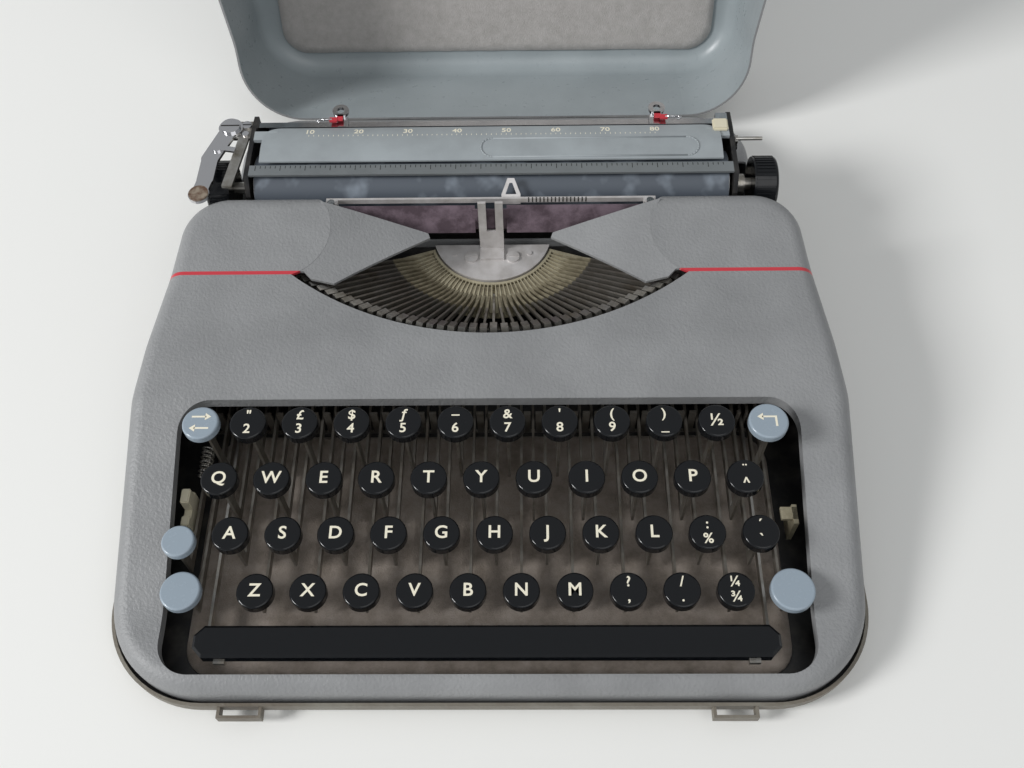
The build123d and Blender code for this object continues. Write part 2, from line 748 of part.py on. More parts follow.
# Carriage
floor_z = rail_top_z + rail_gap
floor_top = floor_z + carriage_floor_t
end_points = [
    (carriage_front_y, floor_z), (carriage_rear_y, floor_z), (carriage_rear_y, 57.0), (89, 58.0),
    (scale_y[0], scale_z + scale_t), (57.5, 50), (57.5, 36),
]
end = slab(end_points, end_x, end_x + end_t)
end -= rod((0, platen_y, platen_z), (far, platen_y, platen_z), platen_shaft_r + shaft_clear)
floor = block((-end_x, end_x), (carriage_front_y, carriage_rear_y), (floor_z, floor_top))
back = block((-end_x, end_x), (carriage_rear_y - sheet, carriage_rear_y), (floor_z, 50))
release_pin = rod((end_x + 1, 84, 50), (end_x + end_t + 2.6, 84, 50), 1.2)
parts["carriage_frame"] = fuse([floor, back, end, mirror(end, about=Plane.YZ), release_pin])
parts["platen"] = fuse(
    [
        rod((-platen_half, platen_y, platen_z), (platen_half, platen_y, platen_z), platen_r),
        rod((-knob_in, platen_y, platen_z), (knob_in, platen_y, platen_z), platen_shaft_r),
        rod((end_x + end_t + 0.6, platen_y, platen_z), (end_x + end_t + 5, platen_y, platen_z), 4.2),
    ]
)
knob = rod((knob_in, platen_y, platen_z), (knob_out, platen_y, platen_z), knob_r)
knob = fillet([e for e in knob.edges() if e.center().X > knob_out - 0.01], 1.5)
parts["platen_knobs"] = both(knob)
front, mid, back_edge = table_front, table_mid, table_rear
table = make_face(
    [
        ThreePointArc(front, mid, back_edge),
        Line(back_edge, (back_edge[0], back_edge[1] - table_t)),
        ThreePointArc(*[(y, z - table_t) for y, z in (back_edge, mid, front)]),
        Line((front[0], front[1] - table_t), front),
    ]
)
table = extrude(Plane.YZ * table, table_half, both=True)
table &= Pos(0, front[0] - 20, 0) * extrude(
    Pos(0, (back_edge[0] - front[0] + 20) / 2)
    * RectangleRounded(2 * table_half, back_edge[0] - front[0] + 20, table_corner_r),
    90,
)
ear = block((table_half - 6, end_x), (82, 87), (58.0 - table_t, 58.9))
parts["paper_table"] = fuse([table, ear, mirror(ear, about=Plane.YZ)])
parts["scale_rail"] = block((-end_x, end_x), scale_y, (scale_z, scale_z + scale_t))
rail_block = block((end_x - 5, end_x), (90.5, 96), (margin_z[1], margin_z[1] + 2.5))
parts["margin_rail"] = block((-end_x, end_x), margin_y, margin_z) + rail_block
c = stop_clear
stop = block((-3.5, 3.5), (margin_y[0] - 1.5, margin_y[1] + 1.3), (margin_z[0] - 1.5, margin_z[1] + 1.5))
stop -= block((-9, 9), (margin_y[0] - c, margin_y[1] + c), (margin_z[0] - c, margin_z[1] + c))
button = Pos(0, margin_y[1] + 4.2, margin_z[1] + 1.5) * extrude(Circle(3.6) - Circle(1.7), 1.3)
button += block((-1.5, 1.5), (margin_y[1], margin_y[1] + 1.6), (margin_z[1] + 0.8, margin_z[1] + 2.8))
stop += button
parts["margin_stop_left"] = Pos(stop_x[0], 0, 0) * stop
parts["margin_stop_right"] = Pos(stop_x[1], 0, 0) * stop
px, py = lever_pivot
bracket_z = (lever_low - 0.2 - lever_sheet, lever_low - 0.2)
arm_mid = (bracket_z[0] + bracket_z[1]) / 2
pad = block((px - 4.5, -end_x - end_t), (py - 5, py + 5), bracket_z)
long_arm = strip((-106.5, py, arm_mid), (-110.6, 57.5, arm_mid), (0, 0, 1), lever_sheet, 4.4)
pivot_pin = disc(1.6, py, bracket_z[0], lever_low + lever_sheet, px)
parts["lever_bracket"] = fuse([pad, long_arm, pivot_pin])
lever_mid = lever_low + lever_sheet / 2
lever_top = lever_low + lever_sheet
bends = [(px, py), (-119.3, 72.0), (-119.6, 60.0), (-121.0, 52.0)]
widths = (7.5, 7.0, 6.5)
pieces = [disc(5.2, py, lever_low, lever_top, px), disc(4.4, bends[3][1], lever_low, lever_top, bends[3][0])]
for (a, b, w) in zip(bends, bends[1:], widths):
    pieces.append(strip((*a, lever_mid), (*b, lever_mid), (0, 0, 1), lever_sheet, w))
    pieces.append(disc(w / 2, b[1], lever_low, lever_top, b[0]))
pieces.append(disc(4.2, py, lever_top, lever_top + 1.1, px))
pieces.append(disc(2.3, 77.5, lever_top, lever_top + 0.9, -116.9))
link_z = lever_top + 0.45
pieces.append(strip((-116.9, 77.5, link_z), (-109.0, 76.0, link_z), (0, 0, 1), 0.9, 2.6))
parts["return_lever"] = fuse(pieces) - disc(1.6 + shaft_clear, py, 0, lever_top, px)
release_x = end_x + end_t + 0.5
release = fuse(
    [
        strip((release_x + 0.6, 84, 50), (release_x + 0.6, 82, 57.2), (1, 0, 0), 1.2, 3.0),
        rod((release_x, 84, 50), (release_x + 1.2, 84, 50), 2.6),
        rod((release_x + 0.3, 82, 57.0), (116, 82, 57.0), 0.8),
    ]
)
release -= rod((release_x - 1, 84, 50), (release_x + 3, 84, 50), 1.2 + shaft_clear)
parts["paper_release_lever"] = release
rack_pitch, rack_half, tooth_h = 4.24, 93.28, 1.2
teeth = [(-rack_half, floor_z)]
for i in range(int(2 * rack_half / rack_pitch)):
    x = -rack_half + i * rack_pitch
    teeth += [(x, floor_z - 2.2), (x + rack_pitch * 0.5, floor_z - 2.2), (x + rack_pitch * 0.5, floor_z - 1)]
    teeth.append((x + rack_pitch, floor_z - 1))
teeth.append((rack_half, floor_z))
parts["carriage_rack"] = Pos(0, 88, 0) * extrude(Plane.XZ * make_face(Polyline(*teeth, close=True)), 4)

# The frame's origin goes under the middle of the whole object at rest
boxes = [shape.bounding_box() for shape in parts.values()]
middle_y = (min(b.min.Y for b in boxes) + max(b.max.Y for b in boxes)) / 2
os.makedirs("parts", exist_ok=True)
for name, shape in parts.items():
    solids = [Pos(0, -middle_y, 0) * solid for solid in shape.solids()]
    export_step(solids[0] if len(solids) == 1 else Compound(solids), f"parts/{name}.step")
print(f"{len(parts)} pieces, moved by {-middle_y:.4f}, lid turned {lid_turn:.3f}")
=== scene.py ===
import math

import bmesh
import bpy
from mathutils import Matrix, Vector, noise


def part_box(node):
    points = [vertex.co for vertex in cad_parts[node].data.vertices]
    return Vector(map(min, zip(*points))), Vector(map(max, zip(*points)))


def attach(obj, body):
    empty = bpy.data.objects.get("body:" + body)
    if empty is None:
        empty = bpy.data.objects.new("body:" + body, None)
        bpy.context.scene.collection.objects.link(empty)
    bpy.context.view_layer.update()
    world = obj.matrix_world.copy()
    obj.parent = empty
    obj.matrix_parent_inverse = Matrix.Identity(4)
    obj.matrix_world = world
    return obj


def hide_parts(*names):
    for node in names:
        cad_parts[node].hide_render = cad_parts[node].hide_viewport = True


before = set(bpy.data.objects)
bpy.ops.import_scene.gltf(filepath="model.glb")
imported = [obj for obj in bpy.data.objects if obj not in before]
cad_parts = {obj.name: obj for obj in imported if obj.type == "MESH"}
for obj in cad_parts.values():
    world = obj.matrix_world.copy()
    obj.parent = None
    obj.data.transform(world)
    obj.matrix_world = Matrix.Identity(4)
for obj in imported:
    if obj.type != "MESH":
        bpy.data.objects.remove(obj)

bl_info = {
    "name": "Portable typewriter in its case",
    "version": (1, 0, 0),
    "blender": (4, 5, 0),
    "location": "View3D > Sidebar > Typewriter",
    "description": "Looks for a portable typewriter that stands in the lower half of its case",
    "category": "Object",
}

# Frame: lengths are the CAD's own millimetres, moved so that the origin is under the middle
MM = 0.001
MIDDLE_Y = 59.0742
HINGE = (140.75, 10.15)
LID_TURN = 105.662

# Camera, worked out from the photo
CAMERA_AT = (15.39, -242.62, 384.12)
CAMERA_RIGHT = (0.99986, 0.003136, -0.016346)
CAMERA_UP = (0.005914, 0.851039, 0.525096)
FOCAL_PX = 1045.5
PHOTO_PX = (1024, 768)
SENSOR_MM = 36.0
CLIP_M = (0.01, 20)

# Lamps: name, place and aim in metres, watts, size in metres
LAMPS = (
    ("window", (-2.1, -0.75, 1.5), (0, 0.05, 0.08), 52, 0.7),
    ("room", (0.6, -1.3, 2.0), (0, 0, 0.05), 12, 1.8),
)
ROOM_LIGHT = (0.95, 0.975, 1.0, 1.0)
ROOM_STRENGTH = 0.40
BACKDROP = (0.85, 0.85, 0.84, 1.0)
FLOOR_HALF_M = 4

# Keys: sizes that the CAD part has too, places of marks on a key, and the marks of each row
PITCH = 19.05
KEY_R = 6.65
CAP_H = 4.0
SIDE_CAP_H = 3.2
UNDER_CAP = 0.1
MARK_LIFT = 0.02
UPPER_MARK = 2.9
MARK_STEP = 5.6
KEY_MARKS = {
    "number_row": ("\"2", "£3", "$4", "ƒ5", "–6", "&7", "'8", "(9", ")_", "½"),
    "top_row": ("Q", "W", "E", "R", "T", "Y", "U", "I", "O", "P", "¨^"),
    "home_row": ("A", "S", "D", "F", "G", "H", "J", "K", "L", ":%", "´`"),
    "bottom_row": ("Z", "X", "C", "V", "B", "N", "M", "?,", "/.", "¼¾"),
}
H_KEY = ("home_row", 5)
SIDE_KEYS = "arrow_key backspace_key shift_lock_key shift_key_left shift_key_right"

# Letters: half the thickness of the ink, how much bolder than the plain face, and steps in a curve
LETTER_THICK = 0.03
LETTER_BOLD = 0.016
LETTER_STEPS = 4

# Flat arrows: places of the ends along the arrow, half widths, and heights over the key
ARROW_TAIL = -3.4
ARROW_NECK = 2.0
ARROW_BARB = 1.6
ARROW_TIP = 3.8
ARROW_HALF = 0.35
BARB_HALF = 1.5
ARROW_LOW = -0.01
ARROW_HIGH = 0.05
ARROW_APART = 2.4
BACK_ARROW = (-0.3, 1.6)
BACK_TAIL = ((2.3, -2.4, -0.01), (3.1, 1.95, 0.06))

# Roller
PLATEN_AXIS = (70, 42)
SLEEVE_HALF = 100.55
KNOB_R = 11.5
RIB_X = (112.8, 120.8)
RIB_HALF = 0.4
RIB_SUNK = 0.3
RIBS = 44
CAP_X = (122.28, 122.7)
CAP_R = 4.2

# Scale: characters are 2.12 mm apart, with a long tick at every fifth; the line gauge has its own
CHARACTER = 2.12
SCALE_FIRST = -99.4
SCALE_TICKS = 94
TICK_REAR = 67.6
TICK_LONG = 2.6
TICK_SHORT = 1.4
TICK_Z = (57.98, 58.04)
GAUGE_TICKS = 16
GAUGE_FIRST = 16.0
GAUGE_STEP = 1.6
GAUGE_TICK_HALF = 0.25
GAUGE_FRONT = ((53.12, 53.24), (50.4, 52.4))
GAUGE_TOP = ((53.2, 53.9), (52.44, 52.56))

# Paper table: its top is a parabola over y, given by height and slope at one y and by its bend
TABLE_MID = (80, 59.9)
TABLE_SLOPE = -0.08334
TABLE_BEND = -0.013362
TABLE_TENS = 8
TABLE_TICKS = 71
TABLE_FIRST = -78.2
TABLE_DIGIT_Y = 86.4
TABLE_TICK_REAR = 83.9
TABLE_TICK_LONG = 1.3
TABLE_TICK_SHORT = 0.9
TABLE_TICK_HALF = 0.12
TABLE_TICK_Z = (-0.05, 0.06)
TABLE_TICK_MID = 83.4
PANEL_X = (-4, 88)
PANEL_Y = (70.4, 80.6)
PANEL_CORNER_R = 4.8
PANEL_WIRE_R = 0.38

# Margin stops: pointer and hook, measured from the stop
POINTER_X = (1.0, 4.2)
POINTER_Y = (92.2, 94.6)
POINTER_Z = (58.62, 59.4)
CLIP_HALF = 1.4
CLIP_BLOCKS = (((95.4, 96.6), (58.5, 59.2)), ((93.0, 96.6), (58.62, 59.2)))
HOOK_ROUTE = ((3.6, 93.4), (8.7, 93.4), (9.9, 92.6), (8.7, 91.8))
HOOK_Z = 59.3
HOOK_R = 0.5

# Other small fittings: blocks as two corners, and rods as two ends, a radius and a count of sides
CREAM_BLOCK = [((95.0, 84.5, 58.6), (101.6, 91.0, 60.6))]
# The two slots are thin dark sheets: painted shade inside the slots
BRACKET_SLOT_SHADE = [((-108.5, 91.9, 57.86), (-104.5, 92.5, 57.93))]
PIVOT_SLOT_SHADE = [((-117.0, 89.65, 59.66), (-109.0, 90.35, 59.74))]
SHIFT_STOP = [
    ((-117.3, -79, 4.25), (-114.4, -65, 18)),
    ((-117.3, -73, 18), (-113.9, -67, 25)),
    ((-117.3, -80, 16), (-114.2, -76, 20)),
]
SHIFT_GUIDE = [
    ((115.4, -80, 4.25), (117.3, -72, 19)),
    ((111.0, -78, 17.6), (117.3, -73, 19)),
]
BRACKET_SCREWS = [
    ((-106.5, 92.2, 56.9), (-106.5, 92.2, 57.9), 2.2, 24),
    ((-106.5, 87.2, 56.9), (-106.5, 87.2, 57.7), 1.5, 24),
]
THUMB_PAD = [((-121.0, 52.0, 58.55), (-121.0, 52.0, 59.1), 4.1, 32)]
SPRING_RODS = [
    ((-111.4, -62, 17.2), (-111.4, -34, 17.2), 0.7, 12),
    ((-111.4, -32.5, 17.2), (-111.4, -36, 17.2), 1.6, 12),
]
SPRING_START = (-111.4, -60, 19.5)
SPRING_LONG = 14.0
SPRING_R = 2.3
SPRING_WIRE_R = 0.4
SPRING_TURNS = 7
TURN_STEPS = 14

# Felts: outlines as x, y and corner radius, and heights; the lid's felt is drawn in the closed lid
TRAY_FELT = [(112, -134, 12), (112, -34, 12), (-112, -34, 12), (-112, -134, 12)]
TRAY_FELT_Z = (5.55, 4.22)
LID_FELT_SIDE = [(129, -133, 26), (129, -35.93, 46), (111, 99.07, 74), (111, 127.5, 12)]
LID_FELT_Z = (61.6, 62.98)
FELT_STEP = 4
FELT_RINGS = 30
FELT_RIM_WOBBLE = 0.35
FELT_RIM_WOBBLE_LONG = 6
FELT_RIM_SEED = 7
FELT_RIM_DROP = 0.45
FELT_SWELLS = ((22, 1.0, 1), (7, 0.5, 3))

# Places in the CAD that divide two finishes
SEGMENT_Y = 56.5
BARS_IN_SEGMENT_R = 46.0
# Below this height, the tray's faces that look up are painted black as shade
TRAY_FLOOR_Z = 6.0
FACES_UP = 0.9
LID_INNER_POINT_Z = 30


def srgb(code):
    """A hex sRGB colour as linear values."""
    parts = [int(code[i:i + 2], 16) / 255 for i in (1, 3, 5)]
    return [c / 12.92 if c <= 0.04045 else ((c + 0.055) / 1.055) ** 2.4 for c in parts] + [1.0]


def length(name, description, default):
    """A length that a user may change, in metres."""
    return bpy.props.FloatProperty(
        name=name, description=description, default=default, min=0.0, unit="LENGTH"
    )


def colour(name, description, code):
    """A colour that a user may change."""
    return bpy.props.FloatVectorProperty(
        name=name, description=description, default=srgb(code), size=4, min=0.0, max=1.0, subtype="COLOR"
    )


class Sizes(bpy.types.PropertyGroup):
    """Sizes of the marks and small fittings."""

    letter: length("Letter", "Type size of a mark that is alone on its key", 0.0068)
    small_letter: length("Small mark", "Type size where a key has two marks", 0.0054)
    digit: length("Digit", "Type size of the digits on the paper table", 0.0042)
    tick: length("Tick", "Width of one tick on the scale", 0.00028)
    rib: length("Knob rib", "Height of a rib on the roller's knobs", 0.0004)
    felt_wave: length("Felt wave", "How far the felt rises and dips", 0.0003)


class Colours(bpy.types.PropertyGroup):
    """Colours of the finishes."""

    enamel: colour("Enamel", "Stove enamel on the shell and outside the lid", "#8E8F90")
    enamel_worn: colour("Enamel, worn", "The same enamel in its darker patches", "#818283")
    stripe: colour("Stripe", "Enamel of the stripes and the margin pointers", "#C23A44")
    key: colour("Key", "Plastic of the keys, the space bar, the knobs and the handle", "#0E1013")
    side_key: colour("Side key", "Plastic of the shift and other side keys", "#929FAA")
    mark: colour("Mark", "Ink of the marks on the keys and the paper table", "#EDE7D2")
    ribbon: colour("Ribbon", "Inked cloth of the ribbon", "#4C3E46")
    ribbon_worn: colour("Ribbon, worn", "The same cloth where its ink is used up", "#75656F")
    felt: colour("Lid felt", "Felt in the lid", "#B9B5B2")
    felt_worn: colour("Lid felt, worn", "The same felt where it is soiled", "#A5A19D")


def mm(x, y, z):
    """A point in the CAD part's own millimetres, in the frame's metres."""
    return Vector((x * MM, (y - MIDDLE_Y) * MM, z * MM))


def turned():
    """The turn that takes the closed lid to where it stands open."""
    hinge = mm(0, *HINGE)
    return (
        Matrix.Translation(hinge)
        @ Matrix.Rotation(-math.radians(LID_TURN), 4, "X")
        @ Matrix.Translation(-hinge)
    )


def add(tree, kind, settings=None, **values):
    """A new node with its settings and its input values; a value may be another node's socket."""
    node = tree.nodes.new(kind)
    for key, value in (settings or {}).items():
        setattr(node, key, value)
    for key, value in values.items():
        socket = node.inputs[int(key[1:]) if key[0] == "_" else key.replace("_", " ")]
        if isinstance(value, bpy.types.NodeSocket):
            tree.links.new(value, socket)
        else:
            socket.default_value = value
    return node


def surface(tree, clean, marked=None, patches=None, scuffs=None, grain=None, **values):
    """The shader of one surface.

    clean and marked are its two colours. patches says where the marked one shows: the size of a
    patch in mm, the noise's detail and roughness, and the two levels between which it fades in.
    scuffs is written the same way, for the shader's values alone. grain is a bump: its size in mm,
    detail, roughness and depth in mm. A value that is a pair runs from clean spots to marked ones.
    """
    where = add(tree, "ShaderNodeTexCoord").outputs["Object"]
    masks = []
    for size, detail, uneven, low, high in [spots for spots in (patches, scuffs) if spots]:
        cloud = add(tree, "ShaderNodeTexNoise", Vector=where, Scale=1 / (size * MM), Detail=detail,
                    Roughness=uneven)
        masks.append(add(tree, "ShaderNodeMapRange", _0=cloud.outputs["Fac"], _1=low, _2=high).outputs[0])
    for key, value in values.items():
        if isinstance(value, tuple):
            values[key] = add(tree, "ShaderNodeMapRange", _0=masks[-1], _3=value[0], _4=value[1]).outputs[0]
    values["Base_Color"] = clean
    if marked:
        both = add(tree, "ShaderNodeMix", {"data_type": "RGBA"}, _0=masks[0], _6=clean, _7=marked)
        values["Base_Color"] = both.outputs[2]
    if grain:
        size, detail, uneven, depth = grain
        cloud = add(tree, "ShaderNodeTexNoise", Vector=where, Scale=1 / (size * MM), Detail=detail,
                    Roughness=uneven)
        bump = add(tree, "ShaderNodeBump", Height=cloud.outputs["Fac"], Distance=depth * MM, Strength=1.0)
        values["Normal"] = bump.outputs[0]
    return add(tree, "ShaderNodeBsdfPrincipled", **values).outputs[0]


def chosen():
    """The colours that the user has chosen."""
    return bpy.context.scene.typewriter_colours


def wrinkled_enamel(tree):
    """Stove enamel, sprayed thick and baked until it wrinkles: a fine crinkle breaks up its shine."""
    # The wrinkles are drawn at 1.15 mm, coarser than real ones, so that they show
    return surface(tree, chosen().enamel, chosen().enamel_worn, patches=(35, 4.0, 0.55, 0.35, 0.7),
                   grain=(1.15, 2.0, 0.55, 0.3), Roughness=0.5)


def aged_enamel(tree):
    """Stove enamel on the tray, browned by age and handling: warm, uneven and half matt."""
    # Its wrinkles are drawn at 1.6 mm for the same reason
    return surface(tree, srgb("#807C72"), srgb("#675F54"), patches=(25, 5.0, 0.55, 0.35, 0.7),
                   grain=(1.6, 2.0, 0.55, 0.3), Roughness=0.5)


def smooth_enamel(tree):
    """Enamel brushed thin inside the lid: glossy, with scuffs that dull it."""
    return surface(tree, srgb("#9DA5A8"), srgb("#8E9699"), patches=(50, 5.0, 0.55, 0.35, 0.7),
                   scuffs=(4, 6.0, 0.7, 0.3, 0.7), grain=(3, 2.0, 0.55, 0.04), Roughness=(0.24, 0.42))


def satin_enamel(tree):
    """Enamel with a satin gloss on pressed sheet steel: a soft, even shine."""
    return surface(tree, srgb("#A0A7AA"), srgb("#93999C"), patches=(20, 4.0, 0.55, 0.35, 0.7),
                   grain=(1.2, 2.0, 0.55, 0.03), Roughness=0.38)


def black_japan_and_painted_shade(tree):
    """Black japan dipped on pressed steel: deep black under settled dust. On the tray's floor the same
    black is painted shade.
    """
    return surface(tree, srgb("#1B1B1C"), srgb("#3A3835"), patches=(6, 5.0, 0.55, 0.45, 0.75),
                   Roughness=0.42)


def red_enamel(tree):
    """Red enamel, brushed on: bright, with a low gloss."""
    return surface(tree, chosen().stripe, Roughness=0.35)


def drawn_steel(tree):
    """Drawn steel strip, dulled by handling: grey shine under brown smears."""
    return surface(tree, srgb("#C2C0BB"), srgb("#8C8578"), patches=(8, 6.0, 0.65, 0.4, 0.72), Metallic=1.0,
                   Roughness=(0.28, 0.5))


def blued_steel(tree):
    """Blued steel strip, gone dark with oil: a dim shine that dies in the dirt."""
    return surface(tree, srgb("#8B8780"), srgb("#675F54"), patches=(8, 6.0, 0.65, 0.4, 0.72), Metallic=0.7,
                   Roughness=(0.32, 0.5))


def etched_steel(tree):
    """Rolled steel strip, lightly etched: grey, with a soft uneven shine."""
    return surface(tree, srgb("#8F9496"), patches=(6, 4.0, 0.55, 0.3, 0.7), Metallic=0.55,
                   Roughness=(0.3, 0.45))


def ground_steel(tree):
    """Steel ground flat: pale and matt."""
    return surface(tree, srgb("#D2CFCE"), srgb("#B9B5B2"), patches=(6, 4.0, 0.55, 0.35, 0.7), Metallic=0.35,
                   Roughness=0.42)


def chrome_plate(tree):
    """Chrome plate, polished: a mirror with a little haze."""
    return surface(tree, srgb("#D4D4D6"), patches=(10, 5.0, 0.55, 0.4, 0.75), Metallic=1.0,
                   Roughness=(0.08, 0.25))


def cast_brass(tree):
    """Cast brass, milled: pale gold where it is bare, dull under oil and dust."""
    return surface(tree, srgb("#CDC5AA"), srgb("#958C74"), patches=(5, 6.0, 0.65, 0.35, 0.7),
                   Metallic=(0.6, 0.2), Roughness=0.45)


def oiled_brass(tree):
    """Brass dust and old oil, caked on the typebars in the segment: brown and nearly matt."""
    return surface(tree, srgb("#A39B84"), srgb("#746B57"), patches=(5, 6.0, 0.65, 0.35, 0.7), Metallic=0.3,
                   Roughness=0.5)


def moulded_black(tree):
    """Black thermoset, moulded and polished: glossy, with grease from fingers."""
    return surface(tree, chosen().key, patches=(3, 4.0, 0.55, 0.4, 0.7), Specular_IOR_Level=0.4,
                   Roughness=(0.10, 0.26))


def moulded_blue(tree):
    """Grey-blue thermoset, moulded: glossy, a little duller than the black."""
    return surface(tree, chosen().side_key, patches=(3, 4.0, 0.55, 0.4, 0.7), Roughness=(0.18, 0.34))


def moulded_cream(tree):
    """Cream thermoset, moulded and yellowed by age: warm, with a low gloss."""
    return surface(tree, srgb("#DAD3BB"), Roughness=0.35)


def cream_print(tree):
    """Cream ink, printed: matt."""
    return surface(tree, chosen().mark, Roughness=0.6)


def dark_print_and_painted_shade(tree):
    """Black ink rubbed into cuts: matt. On thin sheets over two slots the same black is painted shade."""
    return surface(tree, srgb("#22211F"), Roughness=0.7)


def ground_rubber(tree):
    """Rubber sleeve, ground round and hardened by age: smooth, with pale worn patches."""
    return surface(tree, srgb("#4E555E"), srgb("#7A838D"), patches=(16, 3.0, 0.55, 0.52, 0.68),
                   Roughness=0.48)


def moulded_rubber(tree):
    """Black rubber, moulded: matt."""
    return surface(tree, srgb("#1C1B1A"), Roughness=0.85)


def lid_felt(tree):
    """Wool felt, pressed: faded, mottled and soft at the edge of the light."""
    # The fibres are drawn as lumps of 0.7 mm, coarser than wool, so that they show
    return surface(tree, chosen().felt, chosen().felt_worn, patches=(5, 6.0, 0.8, 0.35, 0.7),
                   grain=(0.7, 4.0, 0.8, 0.35), Roughness=0.95, Sheen_Weight=0.25)


def tray_felt(tree):
    """Wool felt, pressed: dark with oil and worn thin."""
    # The fibres are as coarse as the lid felt's
    return surface(tree, srgb("#9A9087"), srgb("#756B61"), patches=(14, 5.0, 0.7, 0.36, 0.66),
                   grain=(0.7, 4.0, 0.8, 0.35), Roughness=0.95, Sheen_Weight=0.2)


def woven_ribbon(tree):
    """Cotton ribbon, woven and soaked in ink: matt, lighter where the ink is used up."""
    # The threads are drawn at 0.35 mm, coarser than real ones, so that they show
    return surface(tree, chosen().ribbon, chosen().ribbon_worn, patches=(9, 5.0, 0.65, 0.38, 0.62),
                   grain=(0.35, 2.0, 0.55, 0.12), Roughness=0.8)


def worn_brown(tree):
    """Brown varnish, brushed on and rubbed down to the steel by thumbs."""
    return surface(tree, srgb("#5A4232"), srgb("#8D8172"), patches=(2.5, 4.0, 0.55, 0.4, 0.65),
                   Roughness=0.4)


def cotton_cloth(tree):
    """White cotton cloth, woven and ironed: matt."""
    return surface(tree, srgb("#ECECE9"), Roughness=0.9)


def material(finish, second=None, mask=None):
    """A material of one finish, or of two that a mask divides. No finish has the name of a CAD slot."""
    label = finish.__name__
    if second:
        label += f"_and_{second.__name__}_{mask.__name__}"
    if label in bpy.data.materials:
        return bpy.data.materials[label]
    made = bpy.data.materials.new(label)
    made.use_nodes = True
    tree = made.node_tree
    tree.nodes.clear()
    shader = finish(tree)
    if second:
        shader = add(tree, "ShaderNodeMixShader", _0=mask(tree), _1=shader, _2=second(tree)).outputs[0]
    add(tree, "ShaderNodeOutputMaterial", Surface=shader)
    return made


def beyond_sleeve(tree):
    """1 past the ends of the roller's rubber sleeve."""
    where = add(tree, "ShaderNodeTexCoord").outputs["Object"]
    split = add(tree, "ShaderNodeSeparateXYZ", Vector=where)
    size = add(tree, "ShaderNodeMath", {"operation": "ABSOLUTE"}, _0=split.outputs["X"])
    past = add(tree, "ShaderNodeMath", {"operation": "GREATER_THAN"}, _0=size.outputs[0],
               _1=SLEEVE_HALF * MM)
    return past.outputs[0]


def on_cap(node, cap_h):
    """A mask that is 1 on a key's cap and 0 on the lever under it."""
    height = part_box(node)[1].z - (cap_h + UNDER_CAP) * MM

    def over(tree):
        where = add(tree, "ShaderNodeTexCoord").outputs["Object"]
        split = add(tree, "ShaderNodeSeparateXYZ", Vector=where)
        past = add(tree, "ShaderNodeMath", {"operation": "GREATER_THAN"}, _0=split.outputs["Z"], _1=height)
        return past.outputs[0]

    over.__name__ = f"on_{node}"
    return over


def near_segment(tree):
    """1 where the typebars lie in the segment's slots."""
    where = add(tree, "ShaderNodeTexCoord").outputs["Object"]
    flat = add(tree, "ShaderNodeVectorMath", {"operation": "MULTIPLY"}, _0=where, _1=(1.0, 1.0, 0.0))
    away = add(tree, "ShaderNodeVectorMath", {"operation": "DISTANCE"}, _0=flat.outputs["Vector"],
               _1=tuple(mm(0, SEGMENT_Y, 0)))
    near = add(tree, "ShaderNodeMath", {"operation": "LESS_THAN"}, _0=away.outputs["Value"],
               _1=BARS_IN_SEGMENT_R * MM)
    return near.outputs[0]


def tray_floor_painted_shade(tree):
    """1 on the floor inside the tray, which is painted black as shade."""
    coords = add(tree, "ShaderNodeTexCoord")
    normal = add(tree, "ShaderNodeSeparateXYZ", Vector=coords.outputs["Normal"])
    where = add(tree, "ShaderNodeSeparateXYZ", Vector=coords.outputs["Object"])
    flat = add(tree, "ShaderNodeMath", {"operation": "GREATER_THAN"}, _0=normal.outputs["Z"], _1=FACES_UP)
    low = add(tree, "ShaderNodeMath", {"operation": "LESS_THAN"}, _0=where.outputs["Z"],
              _1=TRAY_FLOOR_Z * MM)
    both = add(tree, "ShaderNodeMath", {"operation": "MULTIPLY"}, _0=flat.outputs[0], _1=low.outputs[0])
    return both.outputs[0]


def inside_lid(tree):
    """1 on the faces that look into the lid."""
    coords = add(tree, "ShaderNodeTexCoord")
    inner_point = turned() @ mm(0, 0, LID_INNER_POINT_Z)
    inward = add(tree, "ShaderNodeVectorMath", {"operation": "SUBTRACT"}, _0=tuple(inner_point),
                 _1=coords.outputs["Object"])
    way = add(tree, "ShaderNodeVectorMath", {"operation": "DOT_PRODUCT"}, _0=coords.outputs["Normal"],
              _1=inward.outputs["Vector"])
    facing = add(tree, "ShaderNodeMath", {"operation": "GREATER_THAN"}, _0=way.outputs["Value"], _1=0.0)
    return facing.outputs[0]


def coat(nodes, made):
    """Give CAD nodes a material."""
    for name in nodes.split():
        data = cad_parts[name].data
        data.materials.clear()
        data.materials.append(made)


def piece(name, bm, made, body, smooth=False):
    """A finished piece from a mesh that is being built."""
    data = bpy.data.meshes.new(name)
    bm.normal_update()
    bm.to_mesh(data)
    bm.free()
    for face in data.polygons:
        face.use_smooth = smooth
    data.materials.append(made)
    made_piece = bpy.data.objects.new(name, data)
    bpy.context.scene.collection.objects.link(made_piece)
    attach(made_piece, body)
    return made_piece


def put_block(bm, low, high, turn=None):
    """A block between two corners."""
    low, high = Vector(low), Vector(high)
    where = Matrix.Translation((low + high) / 2) @ Matrix.Diagonal((*(high - low), 1))
    bmesh.ops.create_cube(bm, size=1, matrix=(turn or Matrix()) @ where)


def put_rod(bm, start, end, radius, sides=24):
    """A round rod between two points."""
    start, end = Vector(start), Vector(end)
    way = end - start
    turn = way.to_track_quat("Z", "Y").to_matrix().to_4x4()
    bmesh.ops.create_cone(bm, cap_ends=True, segments=sides, radius1=radius, radius2=radius,
                          depth=way.length, matrix=Matrix.Translation((start + end) / 2) @ turn)


